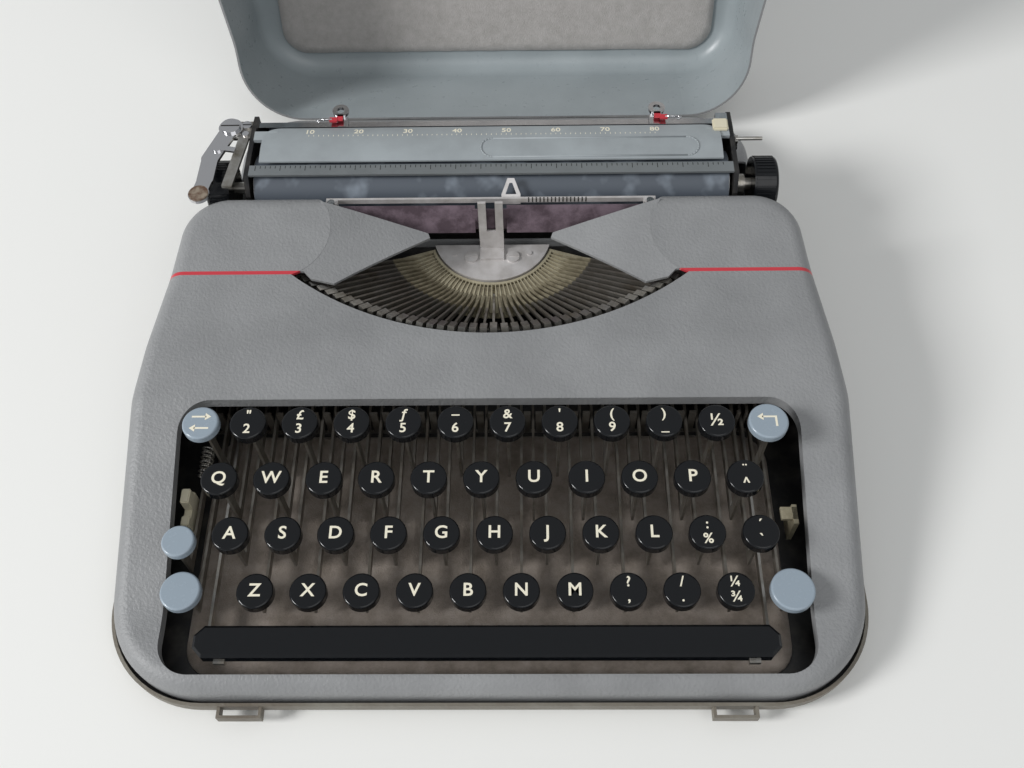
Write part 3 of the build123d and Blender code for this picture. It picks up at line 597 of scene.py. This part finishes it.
def put_wire(bm, points, radius, sides=10, rings=6):
    """A round wire through points."""
    points = [Vector(p) for p in points]
    for a, b in zip(points, points[1:]):
        put_rod(bm, a, b, radius, sides)
    for p in points:
        bmesh.ops.create_uvsphere(bm, u_segments=sides, v_segments=rings, radius=radius,
                                  matrix=Matrix.Translation(p))


def put_text(bm, word, size, matrix):
    """Flat letters, centred on a matrix's origin."""
    letters = bpy.data.curves.new("letters", "FONT")
    letters.body, letters.size = word, size
    letters.align_x, letters.align_y = "CENTER", "CENTER"
    letters.extrude = LETTER_THICK * MM
    letters.offset = size * LETTER_BOLD
    letters.resolution_u = LETTER_STEPS
    holder = bpy.data.objects.new("letters", letters)
    bpy.context.scene.collection.objects.link(holder)
    depsgraph = bpy.context.evaluated_depsgraph_get()
    data = bpy.data.meshes.new_from_object(holder.evaluated_get(depsgraph))
    data.transform(matrix)
    bm.from_mesh(data)
    bpy.data.objects.remove(holder)
    bpy.data.meshes.remove(data)
    bpy.data.curves.remove(letters)


def rounded(corners, steps=8):
    """A closed outline with its corners rounded; each corner is x, y and radius."""
    points = []
    for i, (x, y, r) in enumerate(corners):
        here = Vector((x, y))
        before = (Vector(corners[i - 1][:2]) - here).normalized()
        after = (Vector(corners[(i + 1) % len(corners)][:2]) - here).normalized()
        half = before.angle(after) / 2
        back = r / math.tan(half)
        start, end = here + before * back, here + after * back
        centre = here + (before + after).normalized() * (r / math.sin(half))
        for k in range(steps + 1):
            ray = start.lerp(end, k / steps) - centre
            points.append(centre + ray.normalized() * r)
    return points


def spread(outline, step):
    """Points spaced evenly along an outline."""
    out = []
    for a, b in zip(outline, outline[1:] + outline[:1]):
        count = max(1, int((b - a).length / step))
        out += [a.lerp(b, k / count) for k in range(count)]
    return out


def felt_height(p, top, bottom, wave, drop):
    """Height of a felt's face: it rises and dips by about a wave, and drops at the rim."""
    swell = 0
    for long, share, seed in FELT_SWELLS:
        swell += share * noise.noise(Vector((p.x / long, p.y / long, seed)))
    outward = 1 if top > bottom else -1
    return top + outward * (wave * swell - drop)


def felt_pad(name, outline, heights, wave, matrix, made, body):
    """A pad of felt: rings from its rim to its middle, with a soft uneven face."""
    top, bottom = heights
    rim = spread(outline, FELT_STEP)
    middle = sum(rim, Vector((0, 0))) / len(rim)
    bm = bmesh.new()
    rows = [[bm.verts.new(matrix @ mm(p.x, p.y, bottom)) for p in rim]]
    for ring in range(FELT_RINGS):
        row = []
        for p in rim:
            q = middle.lerp(p, 1 - ring / FELT_RINGS)
            if ring == 0:
                ragged = noise.noise(Vector((q.x, q.y, FELT_RIM_SEED)) / FELT_RIM_WOBBLE_LONG)
                q = q + (middle - q).normalized() * FELT_RIM_WOBBLE * (1 + ragged)
            height = felt_height(q, top, bottom, wave, 0 if ring else FELT_RIM_DROP)
            row.append(bm.verts.new(matrix @ mm(q.x, q.y, height)))
        rows.append(row)
    centre = bm.verts.new(matrix @ mm(middle.x, middle.y, top))
    count = len(rim)
    for a, b in zip(rows, rows[1:]):
        for k in range(count):
            bm.faces.new((a[k], a[(k + 1) % count], b[(k + 1) % count], b[k]))
    for k in range(count):
        bm.faces.new((rows[-1][k], rows[-1][(k + 1) % count], centre))
    bm.faces.new(list(reversed(rows[0])))
    bmesh.ops.recalc_face_normals(bm, faces=bm.faces)
    return piece(name, bm, made, body, smooth=True)


def table_z(y):
    """Height of the paper table's curved top."""
    away = y - TABLE_MID[0]
    return TABLE_MID[1] + TABLE_SLOPE * away + TABLE_BEND * away ** 2


def table_at(x, y, lift):
    """A place on the paper table, tilted with it."""
    slope = math.atan(TABLE_SLOPE + 2 * TABLE_BEND * (y - TABLE_MID[0]))
    return Matrix.Translation(mm(x, y, table_z(y) + lift)) @ Matrix.Rotation(slope, 4, "X")


class TYPEWRITER_OT_camera(bpy.types.Operator):
    """Put the camera where the photo was taken from"""

    bl_idname = "typewriter.camera"
    bl_label = "Camera"

    def execute(self, context):
        scene = context.scene
        scene.render.resolution_x, scene.render.resolution_y = PHOTO_PX
        scene.render.resolution_percentage = 100
        data = bpy.data.cameras.new("photo_camera")
        data.sensor_width = SENSOR_MM
        data.lens = FOCAL_PX / PHOTO_PX[0] * SENSOR_MM
        data.clip_start, data.clip_end = CLIP_M
        camera = bpy.data.objects.new("photo_camera", data)
        right, up = Vector(CAMERA_RIGHT).normalized(), Vector(CAMERA_UP).normalized()
        turn = Matrix((right, up, right.cross(up))).transposed().to_4x4()
        camera.matrix_world = Matrix.Translation(mm(*CAMERA_AT)) @ turn
        scene.collection.objects.link(camera)
        scene.camera = camera
        return {"FINISHED"}


class TYPEWRITER_OT_stage(bpy.types.Operator):
    """Lay the floor and set the lamps"""

    bl_idname = "typewriter.stage"
    bl_label = "Stage"

    def execute(self, context):
        scene = context.scene
        scene.view_settings.view_transform = "Standard"
        bm = bmesh.new()
        bmesh.ops.create_grid(bm, x_segments=1, y_segments=1, size=FLOOR_HALF_M)
        data = bpy.data.meshes.new("cloth")
        bm.to_mesh(data)
        bm.free()
        floor = bpy.data.objects.new("cloth", data)
        data.materials.append(material(cotton_cloth))
        scene.collection.objects.link(floor)
        for name, at, aim, watts, size in LAMPS:
            lamp = bpy.data.lights.new(name, "AREA")
            lamp.energy, lamp.size = watts, size
            holder = bpy.data.objects.new(name, lamp)
            way = Vector(aim) - Vector(at)
            holder.matrix_world = Matrix.Translation(at) @ way.to_track_quat("-Z", "Y").to_matrix().to_4x4()
            scene.collection.objects.link(holder)
        world = bpy.data.worlds.new("room_light")
        world.use_nodes = True
        tree = world.node_tree
        tree.nodes.clear()
        seen = add(tree, "ShaderNodeLightPath").outputs["Is Camera Ray"]
        light = add(tree, "ShaderNodeBackground", Color=ROOM_LIGHT, Strength=ROOM_STRENGTH)
        white = add(tree, "ShaderNodeBackground", Color=BACKDROP, Strength=1.0)
        both = add(tree, "ShaderNodeMixShader", _0=seen, _1=light.outputs[0], _2=white.outputs[0])
        add(tree, "ShaderNodeOutputWorld", Surface=both.outputs[0])
        scene.world = world
        return {"FINISHED"}


class TYPEWRITER_OT_shell(bpy.types.Operator):
    """Paint the machine's shell, the case and the stripes"""

    bl_idname = "typewriter.shell"
    bl_label = "Shell and case"

    def execute(self, context):
        coat("front_shell ribbon_cover rear_cover", material(wrinkled_enamel))
        coat("latch_keepers", material(aged_enamel))
        # The floor inside the tray is painted black as shade under the machine
        coat("base_tray", material(aged_enamel, black_japan_and_painted_shade, tray_floor_painted_shade))
        coat("lid_shell", material(wrinkled_enamel, smooth_enamel, inside_lid))
        coat("paper_table", material(satin_enamel))
        coat("trim_stripes", material(red_enamel))
        coat("rubber_feet", material(moulded_rubber))
        coat("machine_frame carriage_frame type_rest mainspring_drum", material(black_japan_and_painted_shade))
        return {"FINISHED"}


class TYPEWRITER_OT_metal(bpy.types.Operator):
    """Give the bare metal pieces and the ribbon their finish"""

    bl_idname = "typewriter.metal"
    bl_label = "Bare metal and ribbon"

    def execute(self, context):
        coat(
            "hinge_leaves lid_fittings latch_left latch_right fulcrum_shaft typebar_h type_slugs "
            "ribbon_spool_left ribbon_spool_right carriage_rails lever_bracket carriage_rack "
            "space_bar_arms paper_release_lever",
            material(drawn_steel),
        )
        coat(
            "number_row_levers top_row_levers home_row_levers bottom_row_levers key_comb",
            material(blued_steel),
        )
        coat("typebars", material(blued_steel, oiled_brass, near_segment))
        coat("segment_plate type_guide line_gauge", material(ground_steel))
        coat("scale_rail", material(etched_steel))
        coat(
            "ribbon_posts margin_rail return_lever margin_stop_left margin_stop_right",
            material(chrome_plate),
        )
        coat("segment", material(cast_brass))
        coat("ribbon", material(woven_ribbon))
        return {"FINISHED"}


class TYPEWRITER_OT_keys(bpy.types.Operator):
    """Finish the keys and print their marks"""

    bl_idname = "typewriter.keys"
    bl_label = "Keys"

    def execute(self, context):
        cream = material(cream_print)
        coat(
            "number_row_keys top_row_keys home_row_keys bottom_row_keys space_bar carry_handle",
            material(moulded_black),
        )
        coat("h_key", material(blued_steel, moulded_black, on_cap("h_key", CAP_H)))
        for node in SIDE_KEYS.split():
            coat(node, material(blued_steel, moulded_blue, on_cap(node, SIDE_CAP_H)))
        for row, marks in KEY_MARKS.items():
            together = [i for i in range(len(marks)) if (row, i) != H_KEY]
            piece(f"{row}_marks", self.printed(context, row, together), cream, row)
            if row == H_KEY[0]:
                piece("h_mark", self.printed(context, row, H_KEY[1:]), cream, "h_lever")
        bm = bmesh.new()
        middle = self.cap_middle("arrow_key")
        self.arrow(bm, middle + Vector((0, ARROW_APART, 0)) * MM, 1)
        self.arrow(bm, middle - Vector((0, ARROW_APART, 0)) * MM, -1)
        piece("arrow_marks", bm, cream, "arrow_lever")
        bm = bmesh.new()
        middle = self.cap_middle("backspace_key")
        self.arrow(bm, middle + Vector((*BACK_ARROW, 0)) * MM, -1)
        put_block(bm, *[middle + Vector(corner) * MM for corner in BACK_TAIL])
        piece("backspace_mark", bm, cream, "backspace_lever")
        return {"FINISHED"}

    def printed(self, context, row, which):
        """The marks of some keys of a row; two marks on a key stand one over the other."""
        sizes = context.scene.typewriter_sizes
        low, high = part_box(f"{row}_keys")
        bm = bmesh.new()
        for i in which:
            marks = KEY_MARKS[row][i]
            alone = len(marks) == 1
            for k, word in enumerate(marks):
                x = low.x + (KEY_R + i * PITCH) * MM
                at = Vector((x, (low.y + high.y) / 2, high.z + MARK_LIFT * MM))
                if not alone:
                    at.y += (UPPER_MARK - MARK_STEP * k) * MM
                put_text(bm, word, sizes.letter if alone else sizes.small_letter, Matrix.Translation(at))
        return bm

    def cap_middle(self, node):
        """The middle of a side key's round cap, at its top; the lever runs on behind it."""
        low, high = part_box(node)
        radius = (high.x - low.x) / 2
        return Vector((low.x + radius, low.y + radius, high.z))

    def arrow(self, bm, at, way):
        """A flat arrow along X."""
        ends = sorted((ARROW_TAIL * way, ARROW_NECK * way))
        put_block(
            bm,
            at + Vector((ends[0], -ARROW_HALF, ARROW_LOW)) * MM,
            at + Vector((ends[1], ARROW_HALF, ARROW_HIGH)) * MM,
        )
        tip = (ARROW_TIP * way, 0, ARROW_HIGH)
        barbs = [(ARROW_BARB * way, side * BARB_HALF, ARROW_HIGH) for side in (1, -1)]
        bm.faces.new([bm.verts.new(at + Vector(p) * MM) for p in (tip, *barbs)])


class TYPEWRITER_OT_roller(bpy.types.Operator):
    """Finish the roller and rib its knobs"""

    bl_idname = "typewriter.roller"
    bl_label = "Roller"

    def execute(self, context):
        rib = context.scene.typewriter_sizes.rib
        coat("platen", material(ground_rubber, drawn_steel, beyond_sleeve))
        black = material(moulded_black)
        coat("platen_knobs", black)
        axis = mm(0, *PLATEN_AXIS)
        ribs, caps = bmesh.new(), bmesh.new()
        for side in (-1, 1):
            ends = sorted(side * x * MM for x in RIB_X)
            for i in range(RIBS):
                turn = Matrix.Translation(axis) @ Matrix.Rotation(2 * math.pi * i / RIBS, 4, "X")
                low = (ends[0], -RIB_HALF * MM, (KNOB_R - RIB_SUNK) * MM)
                high = (ends[1], RIB_HALF * MM, KNOB_R * MM + rib)
                put_block(ribs, low, high, turn)
            put_rod(caps, *[axis + Vector((side * x * MM, 0, 0)) for x in CAP_X], CAP_R * MM, 32)
        piece("knob_ribs", ribs, black, "platen_body")
        piece("knob_caps", caps, material(chrome_plate), "platen_body")
        return {"FINISHED"}


class TYPEWRITER_OT_scales(bpy.types.Operator):
    """Mark the scale, the line gauge and the paper table"""

    bl_idname = "typewriter.scales"
    bl_label = "Scales"

    def execute(self, context):
        sizes = context.scene.typewriter_sizes
        half = sizes.tick / MM / 2
        bm = bmesh.new()
        for i in range(SCALE_TICKS):
            x = SCALE_FIRST + CHARACTER * i
            long = TICK_SHORT if i % 5 else TICK_LONG
            put_block(bm, mm(x - half, TICK_REAR - long, TICK_Z[0]), mm(x + half, TICK_REAR, TICK_Z[1]))
        piece("scale_ticks", bm, material(dark_print_and_painted_shade), "carriage")
        bm = bmesh.new()
        for i in range(GAUGE_TICKS):
            x = GAUGE_FIRST + GAUGE_STEP * i
            for (y0, y1), (z0, z1) in (GAUGE_FRONT, GAUGE_TOP):
                put_block(bm, mm(x - GAUGE_TICK_HALF, y0, z0), mm(x + GAUGE_TICK_HALF, y1, z1))
        piece("gauge_ticks", bm, material(dark_print_and_painted_shade), "base")
        bm = bmesh.new()
        for i in range(TABLE_TENS):
            x = TABLE_FIRST + 10 * CHARACTER * i
            put_text(bm, str(10 * (i + 1)), sizes.digit, table_at(x, TABLE_DIGIT_Y, MARK_LIFT))
        surface_z = table_z(TABLE_TICK_MID)
        low, high = [surface_z + z for z in TABLE_TICK_Z]
        for i in range(TABLE_TICKS):
            x = TABLE_FIRST + CHARACTER * i
            front = TABLE_TICK_REAR - (TABLE_TICK_SHORT if i % 5 else TABLE_TICK_LONG)
            left, right = x - TABLE_TICK_HALF, x + TABLE_TICK_HALF
            put_block(bm, mm(left, front, low), mm(right, TABLE_TICK_REAR, high))
        piece("table_digits", bm, material(cream_print), "carriage")
        bm = bmesh.new()
        (x0, x1), (y0, y1) = PANEL_X, PANEL_Y
        outline = rounded([(x, y, PANEL_CORNER_R) for x, y in ((x0, y0), (x1, y0), (x1, y1), (x0, y1))], 6)
        route = [mm(p.x, p.y, table_z(p.y) + MARK_LIFT) for p in outline + outline[:1]]
        put_wire(bm, route, PANEL_WIRE_R * MM)
        piece("table_outline", bm, material(satin_enamel), "carriage", smooth=True)
        return {"FINISHED"}


class TYPEWRITER_OT_fittings(bpy.types.Operator):
    """Add the small fittings at the carriage's ends and on the margin rail"""

    bl_idname = "typewriter.fittings"
    bl_label = "Small fittings"

    def execute(self, context):
        for side, which in ((-1, "left"), (1, "right")):
            low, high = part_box(f"margin_stop_{which}")
            stop = (low.x + high.x) / 2 / MM
            self.pointer(side, f"margin_{which}", stop)
        self.blocks("cream_block", CREAM_BLOCK, moulded_cream, "carriage", "chrome", bevel=0.6)
        self.rods("bracket_screws", BRACKET_SCREWS, chrome_plate, "carriage", "chrome")
        # Thin dark sheets over the slots of the bracket and the return lever: painted shade
        self.blocks("bracket_slot_shade", BRACKET_SLOT_SHADE, dark_print_and_painted_shade, "carriage", "chrome")
        self.blocks("pivot_slot_shade", PIVOT_SLOT_SHADE, dark_print_and_painted_shade, "return_lever_body", "chrome")
        self.rods("thumb_pad", THUMB_PAD, worn_brown, "return_lever_body", "chrome")
        self.spring()
        self.blocks("shift_stop", SHIFT_STOP, moulded_cream, "base", "steel", bevel=0.4)
        self.blocks("shift_guide", SHIFT_GUIDE, cast_brass, "base", "brass")
        return {"FINISHED"}

    def pointer(self, side, body, stop):
        """A margin stop's red pointer and the wire hook beside it."""
        bm = bmesh.new()
        near, far = [stop + side * x for x in POINTER_X]
        put_block(bm, mm(near, POINTER_Y[0], POINTER_Z[0]), mm(far, POINTER_Y[1], POINTER_Z[1]))
        for (y0, y1), (z0, z1) in CLIP_BLOCKS:
            put_block(bm, mm(stop - CLIP_HALF, y0, z0), mm(stop + CLIP_HALF, y1, z1))
        piece(f"{body}_pointer", bm, material(red_enamel), body)
        bm = bmesh.new()
        put_wire(bm, [mm(stop + side * x, y, HOOK_Z) for x, y in HOOK_ROUTE], HOOK_R * MM)
        piece(f"{body}_hook", bm, material(chrome_plate), body, smooth=True)

    def blocks(self, name, corners, finish, body, slot, bevel=0.0):
        """A piece made of blocks, whose edges may be bevelled."""
        bm = bmesh.new()
        for low, high in corners:
            put_block(bm, mm(*low), mm(*high))
        if bevel:
            bmesh.ops.bevel(bm, geom=list(bm.edges), offset=bevel * MM, segments=2, affect="EDGES")
        piece(name, bm, material(finish), body)

    def rods(self, name, rods, finish, body, slot):
        """A piece made of round rods."""
        bm = bmesh.new()
        for start, end, radius, sides in rods:
            put_rod(bm, mm(*start), mm(*end), radius * MM, sides)
        piece(name, bm, material(finish), body)

    def spring(self):
        """The coiled spring of the keys beside the rows, with the rod that holds it."""
        x, y, z = SPRING_START
        steps = SPRING_TURNS * TURN_STEPS
        route = []
        for k in range(steps + 1):
            turn = 2 * math.pi * k / TURN_STEPS
            route.append(mm(x + SPRING_R * math.cos(turn), y + SPRING_LONG * k / steps,
                            z + SPRING_R * math.sin(turn)))
        bm = bmesh.new()
        put_wire(bm, route, SPRING_WIRE_R * MM)
        for start, end, radius, sides in SPRING_RODS:
            put_rod(bm, mm(*start), mm(*end), radius * MM, sides)
        piece("return_spring", bm, material(drawn_steel), "base", smooth=True)


class TYPEWRITER_OT_felts(bpy.types.Operator):
    """Lay the felts in the lid and the tray"""

    bl_idname = "typewriter.felts"
    bl_label = "Felts"

    def execute(self, context):
        wave = context.scene.typewriter_sizes.felt_wave / MM
        rim = rounded(TRAY_FELT)
        pad = felt_pad("tray_felt_pad", rim, TRAY_FELT_Z, wave, Matrix(), material(tray_felt), "base")
        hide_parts("base_felt")
        rim = rounded(LID_FELT_SIDE + [(-x, y, r) for x, y, r in reversed(LID_FELT_SIDE)])
        pad = felt_pad("lid_felt_pad", rim, LID_FELT_Z, wave, turned(), material(lid_felt), "lid")
        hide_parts("lid_felt")
        return {"FINISHED"}


class TYPEWRITER_PT_panel(bpy.types.Panel):
    """Sizes, colours and buttons for each group of pieces"""

    bl_label = "Typewriter"
    bl_idname = "TYPEWRITER_PT_panel"
    bl_space_type = "VIEW_3D"
    bl_region_type = "UI"
    bl_category = "Typewriter"

    def draw(self, context):
        for group in (context.scene.typewriter_sizes, context.scene.typewriter_colours):
            for name in type(group).__annotations__:
                self.layout.prop(group, name)
        for operator in OPERATORS:
            self.layout.operator(operator.bl_idname)


OPERATORS = (
    TYPEWRITER_OT_camera,
    TYPEWRITER_OT_stage,
    TYPEWRITER_OT_shell,
    TYPEWRITER_OT_metal,
    TYPEWRITER_OT_keys,
    TYPEWRITER_OT_roller,
    TYPEWRITER_OT_scales,
    TYPEWRITER_OT_fittings,
    TYPEWRITER_OT_felts,
)
CLASSES = (Sizes, Colours, *OPERATORS, TYPEWRITER_PT_panel)


def register():
    for item in CLASSES:
        bpy.utils.register_class(item)
    bpy.types.Scene.typewriter_sizes = bpy.props.PointerProperty(type=Sizes)
    bpy.types.Scene.typewriter_colours = bpy.props.PointerProperty(type=Colours)


def unregister():
    del bpy.types.Scene.typewriter_colours
    del bpy.types.Scene.typewriter_sizes
    for item in reversed(CLASSES):
        bpy.utils.unregister_class(item)


def main():
    register()
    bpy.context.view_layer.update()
    bpy.ops.typewriter.camera()
    bpy.ops.typewriter.stage()
    bpy.ops.typewriter.shell()
    bpy.ops.typewriter.metal()
    bpy.ops.typewriter.keys()
    bpy.ops.typewriter.roller()
    bpy.ops.typewriter.scales()
    bpy.ops.typewriter.fittings()
    bpy.ops.typewriter.felts()


if __name__ == "__main__":
    main()
